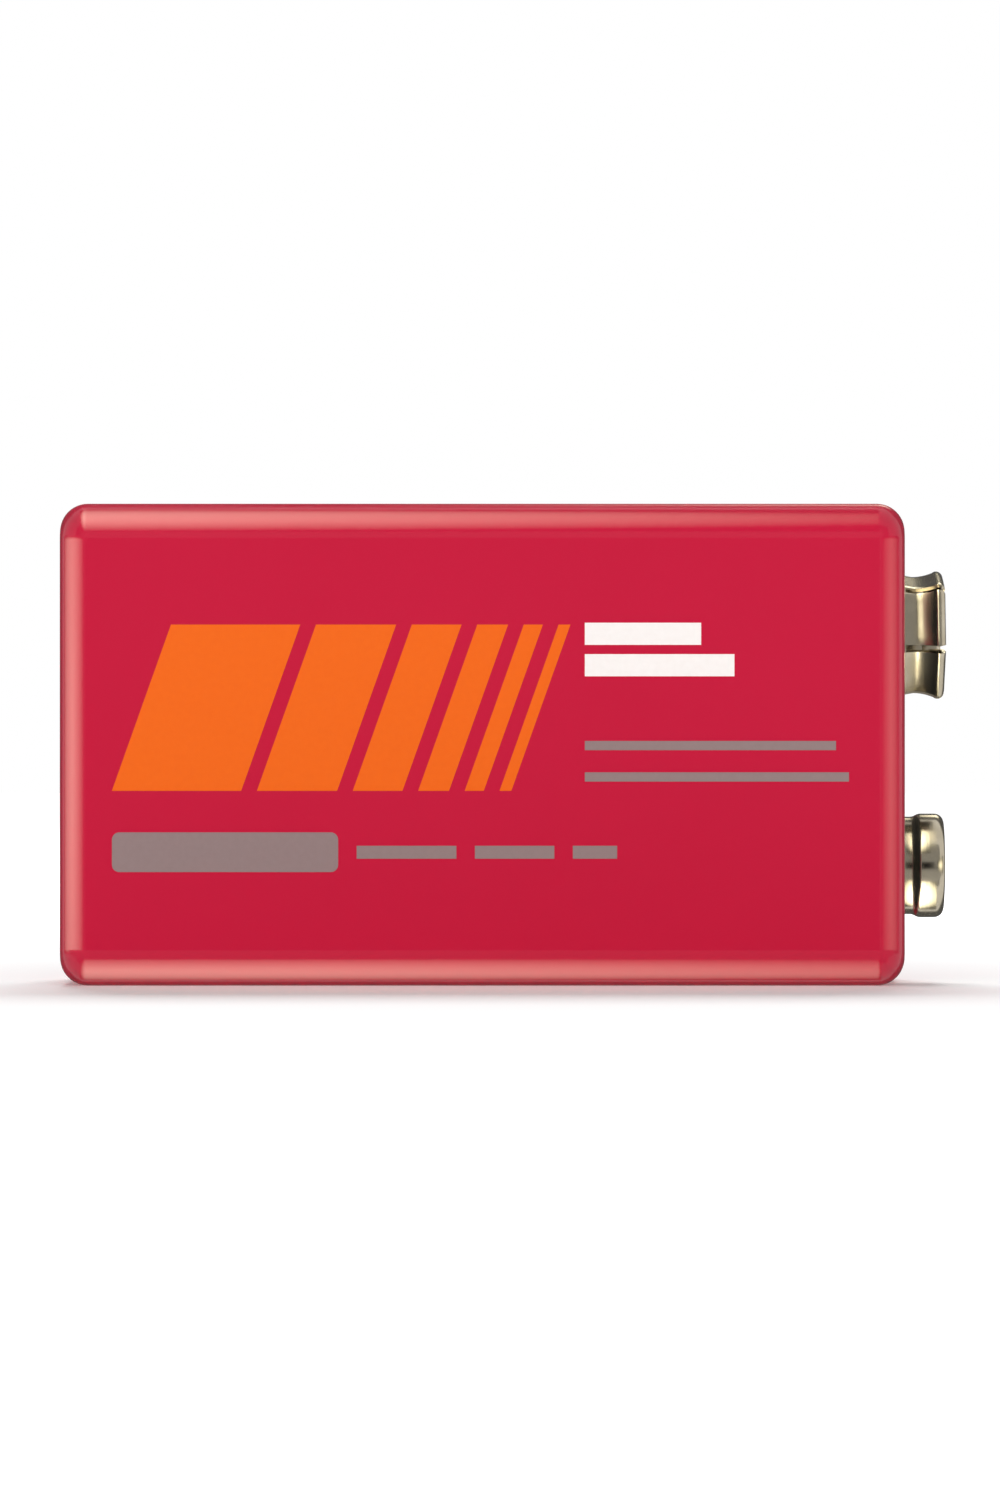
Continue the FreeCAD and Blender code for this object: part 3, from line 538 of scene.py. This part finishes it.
def make_round(loop, radius):
    """Move the vertices of a loop of edges onto a circle about the axis."""
    for vert in {vert for edge in loop for vert in edge.verts}:
        reach = math.hypot(vert.co.x, vert.co.y)
        vert.co.x *= radius / reach
        vert.co.y *= radius / reach


# A hexagon with rounded corners, its flats divided so that the throat can be made round
crown = bmesh.new()
corner_reach = SOCKET_HALF_FLATS / math.cos(math.pi / SOCKET_SIDES)
corners = bmesh.ops.create_circle(crown, segments=SOCKET_SIDES, radius=corner_reach)["verts"]
corner_lines = [vert.co.xy.normalized() for vert in corners]
corner_cut = SOCKET_CORNER * math.tan(math.pi / SOCKET_SIDES)
round_off(crown, corners, corner_cut, CORNER_STRIPS, "VERTICES")
flats = [edge for edge in crown.edges if edge.calc_length() > SOCKET_CORNER]
bmesh.ops.subdivide_edges(crown, edges=flats, cuts=FLAT_CUTS)

# The floor runs in from the foot to the hole for the rivet
foot = list(crown.edges)
foot_half = SOCKET_HALF_FLATS - FOOT_BEND
foot_share = foot_half / SOCKET_HALF_FLATS
bmesh.ops.scale(crown, vec=(foot_share, foot_share, 1), verts=crown.verts)
hole = raise_loop(crown, foot, 0.0)
make_round(hole, HOLE_RADIUS)

# The wall rises as a shallow waist, the bead is an arc, and the mouth rolls into the throat
bead_middle = BEAD_HALF_FLATS - BEAD_RADIUS
bead_centre = terminal_height - BEAD_RADIUS
wall_end = bead_centre + BEAD_RADIUS * math.sin(BEAD_START)
wall_half_end = bead_middle + BEAD_RADIUS * math.cos(BEAD_START)
levels = [(FOOT_BEND, SOCKET_HALF_FLATS),
          (SLIT_FLOOR, (SOCKET_HALF_FLATS + WAIST_HALF_FLATS) / 2),
          (WAIST_HEIGHT, WAIST_HALF_FLATS)]
for step in range(1, WAIST_STEPS + 1):
    share = step / WAIST_STEPS
    levels.append((WAIST_HEIGHT + (wall_end - WAIST_HEIGHT) * share,
                   WAIST_HALF_FLATS + (wall_half_end - WAIST_HALF_FLATS) * share ** 2))
for step in range(1, BEAD_STEPS + 1):
    angle = BEAD_START + (BEAD_END - BEAD_START) * step / BEAD_STEPS
    levels.append((bead_centre + BEAD_RADIUS * math.sin(angle),
                   bead_middle + BEAD_RADIUS * math.cos(angle)))
loop = foot
half = foot_half
for height, next_half in levels:
    loop = raise_loop(crown, loop, height, next_half / half)
    half = next_half
loop = raise_loop(crown, loop, terminal_height - MOUTH_DROP)
make_round(loop, (bead_middle + THROAT_RADIUS) / 2)
for height in (THROAT_MOUTH, THROAT_END):
    loop = raise_loop(crown, loop, height)
    make_round(loop, THROAT_RADIUS)

# The slits take the middle of each rounded corner, down to the solid foot
slits = []
for face in crown.faces:
    middle = face.calc_center_median()
    for line in corner_lines:
        off_line = abs(middle.x * line.y - middle.y * line.x)
        if middle.xy.dot(line) > 0 and off_line < SLIT_REACH and middle.z > SLIT_FLOOR:
            slits.append(face)
bmesh.ops.delete(crown, geom=slits, context="FACES")
bmesh.ops.recalc_face_normals(crown, faces=crown.faces)
lowest = min(crown.faces, key=lambda face: face.calc_center_median().z)
if lowest.normal.z > 0:
    bmesh.ops.reverse_faces(crown, faces=crown.faces)
place_upright(crown, socket_low.x, socket_level, SOCKET_TURN)
crown_piece = finish_piece("crown_socket", crown, [nickel],
                           "negative_socket")
add_modifier(crown_piece, "SOLIDIFY", thickness=SOCKET_SHEET, offset=-1.0)
add_modifier(crown_piece, "BEVEL", width=PETAL_EDGE, segments=PETAL_EDGE_STEPS,
             limit_method="ANGLE", angle_limit=PETAL_EDGE_ANGLE)


# Rivets
# Two tubular brass rivets, nickel plated. The flat head of each sits in the floor of its
# terminal, and the other end is flared under a leaf of tinned metal inside.
RIVET_BORE = 0.6 * MM
RIVET_SHANK = 1.0 * MM
RIVET_HEAD = 1.5 * MM
RIVET_FLARE = 1.7 * MM
HEAD_THICKNESS = 0.35 * MM
FLARE_THICKNESS = 0.3 * MM
RIVET_ROUND = 0.16 * MM
RIVET_STEPS = 4

# Plated brass: the same nickel over a yellower metal, which shows through where it is thin
PLATED_BRASS = "#d2c59c"
BRASS_ROUGHNESS = {"To Min": 0.16, "To Max": 0.34}
WORN_SPOT = TARNISH / 4

brass, tree = new_material("nickel_plated_brass")
place = {"Vector": add_node(tree, "ShaderNodeTexCoord").outputs["Object"]}
stains = add_node(tree, "ShaderNodeTexNoise",
                  {"Scale": 1 / WORN_SPOT, "Detail": GRAIN_DETAIL}, place).outputs["Fac"]
rough = add_node(tree, "ShaderNodeMapRange", BRASS_ROUGHNESS, {"Value": stains})
metal = add_node(tree, "ShaderNodeMix", {"A": linear(NICKEL), "B": linear(PLATED_BRASS)},
                 {"Factor": stains}, data_type="RGBA")
shader = add_node(tree, "ShaderNodeBsdfPrincipled", {"Metallic": 1.0},
                  {"Base Color": metal.outputs["Result"], "Roughness": rough.outputs["Result"]})
add_node(tree, "ShaderNodeOutputMaterial", links={"Surface": shader.outputs["BSDF"]})

for node, level in (("positive_rivet", stud_level), ("negative_rivet", socket_level)):
    rivet_low, rivet_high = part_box(node)
    top = rivet_high.x - rivet_low.x
    rivet = turn_profile([
        (RIVET_BORE, 0.0),
        (RIVET_FLARE, 0.0),
        (RIVET_FLARE, FLARE_THICKNESS),
        (RIVET_SHANK, FLARE_THICKNESS),
        (RIVET_SHANK, top - HEAD_THICKNESS),
        (RIVET_HEAD, top - HEAD_THICKNESS),
        (RIVET_HEAD, top),
        (RIVET_BORE, top),
    ], closed=True)
    round_ring(rivet, RIVET_HEAD, top, RIVET_ROUND, RIVET_STEPS)
    round_ring(rivet, RIVET_BORE, top, RIVET_ROUND, RIVET_STEPS)
    face_top_outwards(rivet)
    place_upright(rivet, rivet_low.x, level)
    finish_piece(node.replace("_", "_tubular_"), rivet, [brass], node)


# Conductors
# A folded tab and a long ribbon of tinned brass carry the current from the stack to the
# rivets, and a tinned plate lies on the last cell.
TINNED = "#bcbab4"
TINNED_DULL = "#93918c"
TINNED_SHEEN = {"Metallic": 1.0, "Roughness": 0.32}


def grained(name, first, second, settings, patch, grain, depth):
    """Make a finish of two tones in patches, with a grain of a size and depth."""
    material, tree = new_material(name)
    place = {"Vector": add_node(tree, "ShaderNodeTexCoord").outputs["Object"]}
    patches = add_node(tree, "ShaderNodeTexNoise",
                       {"Scale": 1 / patch, "Detail": STAIN_DETAIL}, place)
    colour = add_node(tree, "ShaderNodeMix", {"A": linear(first), "B": linear(second)},
                      {"Factor": patches.outputs["Fac"]}, data_type="RGBA")
    grains = add_node(tree, "ShaderNodeTexNoise",
                      {"Scale": 1 / grain, "Detail": GRAIN_DETAIL}, place)
    bump = add_node(tree, "ShaderNodeBump", {"Strength": 1.0, "Distance": depth},
                    {"Height": grains.outputs["Fac"]})
    shader = add_node(tree, "ShaderNodeBsdfPrincipled", settings,
                      {"Base Color": colour.outputs["Result"], "Normal": bump.outputs["Normal"]})
    add_node(tree, "ShaderNodeOutputMaterial", links={"Surface": shader.outputs["BSDF"]})
    return material


# Tinned brass: a soft grey sheen, duller in patches, with the faint ripple of the tin
tinned = grained("tinned_strip", TINNED, TINNED_DULL, TINNED_SHEEN,
                 patch=2.0 * MM, grain=0.3 * MM, depth=0.004 * MM)
for node in ("positive_tab", "negative_strip", "top_contact_plate"):
    dress(node, tinned)


# Insulation
# A moulded tray keeps the rivets off the stack, a grey card lies under it, and a wound tube of
# brown paper lines the jacket.

# The moulded plastic is satin and off-white, and the pressed board and kraft paper are matt,
# with fibres
dress("top_spacer",
      grained("moulded_tray", "#ddd8ca", "#d0cabb", {"Roughness": 0.5, "IOR": 1.49},
              patch=6.0 * MM, grain=0.2 * MM, depth=0.008 * MM))
dress("bottom_card",
      grained("grey_board", "#a0988a", "#857d70", {"Roughness": 0.85},
              patch=1.2 * MM, grain=0.15 * MM, depth=0.02 * MM))
dress("jacket_liner",
      grained("kraft_paper", "#b39a78", "#9c8361", {"Roughness": 0.8},
              patch=1.5 * MM, grain=0.12 * MM, depth=0.015 * MM))


# Layer stack
# Six flat cells lie one on another in a coat of amber wax. Each is a cloudy plastic band round
# a carbon-faced zinc plate, a wet paper, a paper tray and a cake of black mix.

# Dipped wax is lumpy, with a soft glow under its skin
WAX = {"Roughness": 0.42, "IOR": 1.44, "Subsurface Weight": 0.2, "Subsurface Scale": 0.5 * MM}
dress("wax_coat", grained("wax", "#d3b86f", "#c3a456", WAX,
                          patch=4.0 * MM, grain=1.2 * MM, depth=0.05 * MM))

# The band is smooth, the zinc dull, the papers matt and fibrous, and the pressed mix a matt black
LAYERS = {
    "band": grained("cell_band_plastic", "#c4cccb", "#b3bdbc", {"Roughness": 0.3, "IOR": 1.5},
                    patch=5.0 * MM, grain=0.4 * MM, depth=0.006 * MM),
    "electrode": grained("zinc_and_carbon", "#8f949b", "#747980",
                         {"Metallic": 0.8, "Roughness": 0.5},
                         patch=1.0 * MM, grain=0.2 * MM, depth=0.01 * MM),
    "wet_paper": grained("wet_separator_paper", "#c9c1a8", "#b7ae93", {"Roughness": 0.6},
                         patch=1.0 * MM, grain=0.15 * MM, depth=0.015 * MM),
    "paper_tray": grained("tray_paper", "#d8d3c3", "#c6c0ad", {"Roughness": 0.8},
                          patch=1.0 * MM, grain=0.12 * MM, depth=0.015 * MM),
    "mix_cake": grained("black_mix", "#1f1f1f", "#2c2b2a", {"Roughness": 0.95},
                        patch=0.5 * MM, grain=0.1 * MM, depth=0.03 * MM),
}
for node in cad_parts:
    for layer, finish in LAYERS.items():
        if node.startswith("cell_") and node.endswith(layer):
            dress(node, finish)


# Studio
# The battery lies on a white table in a white room. Soft lamps light it from the front and from
# behind. Bright cards at its four sides and dark cloths around them show in its gloss.
TABLE_SIZE = 4.0
TABLE_WHITE = "#f2f2f2"
TABLE_LIFT = 0.17
FULL_LIFT = 1.0
LIFT_START = 0.03
LIFT_END = 0.3
ROOM_LIGHT = 0.14
ROOM_SEEN = 1.0


def flat_sheet(width, tall, parts=1):
    """Make a level sheet about the origin, divided into as many parts each way."""
    mesh = bmesh.new()
    bmesh.ops.create_grid(mesh, x_segments=parts, y_segments=parts, size=0.5)
    bmesh.ops.scale(mesh, vec=(width, tall, 1), verts=mesh.verts)
    return mesh


def add_stage_mesh(name, mesh, material):
    """Make an object of the stage from a mesh and its material."""
    data = bpy.data.meshes.new(name)
    mesh.to_mesh(data)
    mesh.free()
    data.materials.append(material)
    made = bpy.data.objects.new(name, data)
    bpy.context.collection.objects.link(made)
    return made


def add_seen(tree):
    """Give 1 to the rays that see the background: camera, glossy and transmission rays."""
    rays = add_node(tree, "ShaderNodeLightPath").outputs
    either = add_node(tree, "ShaderNodeMath", operation="MAXIMUM",
                      links={0: rays["Is Camera Ray"], 1: rays["Is Glossy Ray"]})
    seen = add_node(tree, "ShaderNodeMath", operation="MAXIMUM",
                    links={0: either.outputs["Value"], 1: rays["Is Transmission Ray"]})
    return seen.outputs["Value"]


# The table keeps the battery's shadow and turns into the white of the room farther off
white_table, tree = new_material("white_table")
place = add_node(tree, "ShaderNodeTexCoord").outputs["Object"]
reach = add_node(tree, "ShaderNodeVectorMath", links={"Vector": place}, operation="LENGTH")
lift = add_node(tree, "ShaderNodeMapRange", {"From Min": LIFT_START, "From Max": LIFT_END,
                                             "To Min": TABLE_LIFT, "To Max": FULL_LIFT},
                {"Value": reach.outputs["Value"]})
strength = add_node(tree, "ShaderNodeMath", operation="MULTIPLY",
                    links={0: lift.outputs["Result"], 1: add_seen(tree)})
white = add_node(tree, "ShaderNodeBsdfDiffuse", {"Color": linear(TABLE_WHITE)})
glow = add_node(tree, "ShaderNodeEmission", links={"Strength": strength.outputs["Value"]})
both = add_node(tree, "ShaderNodeAddShader",
                links={0: white.outputs["BSDF"], 1: glow.outputs["Emission"]})
add_node(tree, "ShaderNodeOutputMaterial", links={"Surface": both.outputs["Shader"]})

table = add_stage_mesh("table", flat_sheet(TABLE_SIZE, TABLE_SIZE), white_table)
table.visible_glossy = False

world = bpy.data.worlds.new("white_room")
world.use_nodes = True
bpy.context.scene.world = world
tree = world.node_tree
tree.nodes.clear()
level = add_node(tree, "ShaderNodeMapRange", {"To Min": ROOM_LIGHT, "To Max": ROOM_SEEN},
                 {"Value": add_seen(tree)})
room = add_node(tree, "ShaderNodeBackground", {"Color": (1, 1, 1, 1)},
                {"Strength": level.outputs["Result"]})
add_node(tree, "ShaderNodeOutputWorld", links={"Surface": room.outputs["Background"]})

# Lamps: degrees round from the camera and up, width and height in metres, and brightness
DISTANCE = 0.7
LAMPS = {
    "front_lamp": (0, 10, 0.6, 0.6, 4.85),
    "back_lamp": (180, 50, 0.3, 0.3, 13.5),
}
target = Vector((0, 0, case_middle.z))


def aim(made, around, up):
    """Put an object at the studio's distance from the battery and turn it to face it."""
    turn = math.radians(around)
    rise = math.radians(up)
    away = Vector((math.sin(turn) * math.cos(rise), -math.cos(turn) * math.cos(rise),
                   math.sin(rise)))
    made.location = target + away * DISTANCE
    made.rotation_euler = away.to_track_quat("Z", "Y").to_euler()


for name, (around, up, width, tall, brightness) in LAMPS.items():
    data = bpy.data.lights.new(name, "AREA")
    data.shape = "RECTANGLE"
    data.size = width
    data.size_y = tall
    data.energy = brightness * math.pi * width * tall
    lamp = bpy.data.objects.new(name, data)
    lamp.visible_glossy = False
    bpy.context.collection.objects.link(lamp)
    aim(lamp, around, up)

# Cards, given like the lamps, with a shift to the right before the brightness: each glows most
# in its middle and fades out to its edges, as a softbox does
CARDS = {
    "left_card": (-62, 0, 1.6, 0.28, 0.0, 9.6),
    "right_card": (57, 0, 1.2, 0.28, 0.0, 3.6),
    "upper_card": (0, 70, 0.42, 1.3, -0.13, 14.0),
    "lower_card": (0, -70, 0.5, 1.4, -0.08, 10.0),
    "crown_card": (168, 33, 0.3, 0.25, 0.0, 5.0),
}
CARD_WARMTH = "#fffbe4"


def add_gloss_sheet(name, mesh, material):
    """Make an object of the stage that only reflections see."""
    material.cycles.emission_sampling = "NONE"
    made = add_stage_mesh(name, mesh, material)
    made.visible_camera = False
    made.visible_diffuse = False
    made.visible_shadow = False
    return made


for name, (around, up, width, tall, aside, brightness) in CARDS.items():
    material, tree = new_material(name)
    place = add_node(tree, "ShaderNodeTexCoord").outputs["Object"]
    across = add_node(tree, "ShaderNodeMapping", {"Scale": (2 / width, 2 / tall, 0)},
                      {"Vector": place})
    middle = add_node(tree, "ShaderNodeTexGradient", gradient_type="SPHERICAL",
                      links={"Vector": across.outputs["Vector"]})
    fade = add_node(tree, "ShaderNodeMapRange", {"To Max": brightness},
                    {"Value": middle.outputs["Fac"]})
    glow = add_node(tree, "ShaderNodeEmission", {"Color": linear(CARD_WARMTH)},
                    {"Strength": fade.outputs["Result"]})
    add_node(tree, "ShaderNodeOutputMaterial", links={"Surface": glow.outputs["Emission"]})
    card = add_gloss_sheet(name, flat_sheet(width, tall), material)
    aim(card, around, up)
    card.location.x += aside

# Three cloths: a black one round the camera keeps the lacquer's colour deep, the grey room lies
# behind it, and a dark grey one behind the battery, with a window in its middle, keeps its
# outline dark. Each has a station, half its size, its parts each way and its brightness.
CLOTHS = {
    "camera_cloth": (-1.1, 0.15, 1, 0.0),
    "grey_room": (-1.2, 1.4, 1, 0.4),
    "back_cloth": (0.6, 0.9, 11, 0.12),
}


def even_glow(name, brightness):
    """Make a material that glows evenly."""
    material, tree = new_material(name)
    glow = add_node(tree, "ShaderNodeEmission", {"Strength": brightness})
    add_node(tree, "ShaderNodeOutputMaterial", links={"Surface": glow.outputs["Emission"]})
    return material


for name, (station, half, parts, brightness) in CLOTHS.items():
    cloth = flat_sheet(half * 2, half * 2, parts)
    if parts > 1:
        window = min(cloth.faces, key=lambda face: face.calc_center_median().length)
        bmesh.ops.delete(cloth, geom=[window], context="FACES_ONLY")
    upright = Matrix.Rotation(math.radians(90), 4, "X")
    bmesh.ops.transform(cloth, verts=cloth.verts,
                        matrix=Matrix.Translation((0, station, case_middle.z)) @ upright)
    add_gloss_sheet(name, cloth, even_glow(name, brightness))

# An apron on the table hides the lower card from the front face, but not from its lower bend
APRON_LENGTH = 120.0 * MM
APRON_REACH = 34.0 * MM
APRON_GAP = 2.2 * MM
APRON_BRIGHTNESS = 0.5

apron = flat_sheet(APRON_LENGTH, APRON_REACH)
bmesh.ops.translate(apron, vec=(0, case_low.y - APRON_GAP - APRON_REACH / 2, -NEAR),
                    verts=apron.verts)
add_gloss_sheet("apron", apron, even_glow("apron", APRON_BRIGHTNESS))


# Camera
# A long lens, level with the battery and square to its front. The frame is 81.2 mm high at the
# front face, and its middle lies a little right of and below the middle of the jacket.
LENS = 200.0
SENSOR = 36.0
FRAME_HEIGHT = 81.2 * MM
MIDDLE_RIGHT = 0.96 * MM
MIDDLE_BELOW = 0.29 * MM
CLIP_START = 0.01

camera_data = bpy.data.cameras.new("camera")
camera_data.lens = LENS
camera_data.sensor_fit = "VERTICAL"
camera_data.sensor_height = SENSOR
camera_data.clip_start = CLIP_START
camera = bpy.data.objects.new("camera", camera_data)
camera.location = (case_middle.x + MIDDLE_RIGHT, case_low.y - FRAME_HEIGHT * LENS / SENSOR,
                   case_middle.z - MIDDLE_BELOW)
camera.rotation_euler = (math.radians(90), 0, 0)
bpy.context.collection.objects.link(camera)
bpy.context.scene.camera = camera
bpy.context.scene.view_settings.view_transform = "Standard"
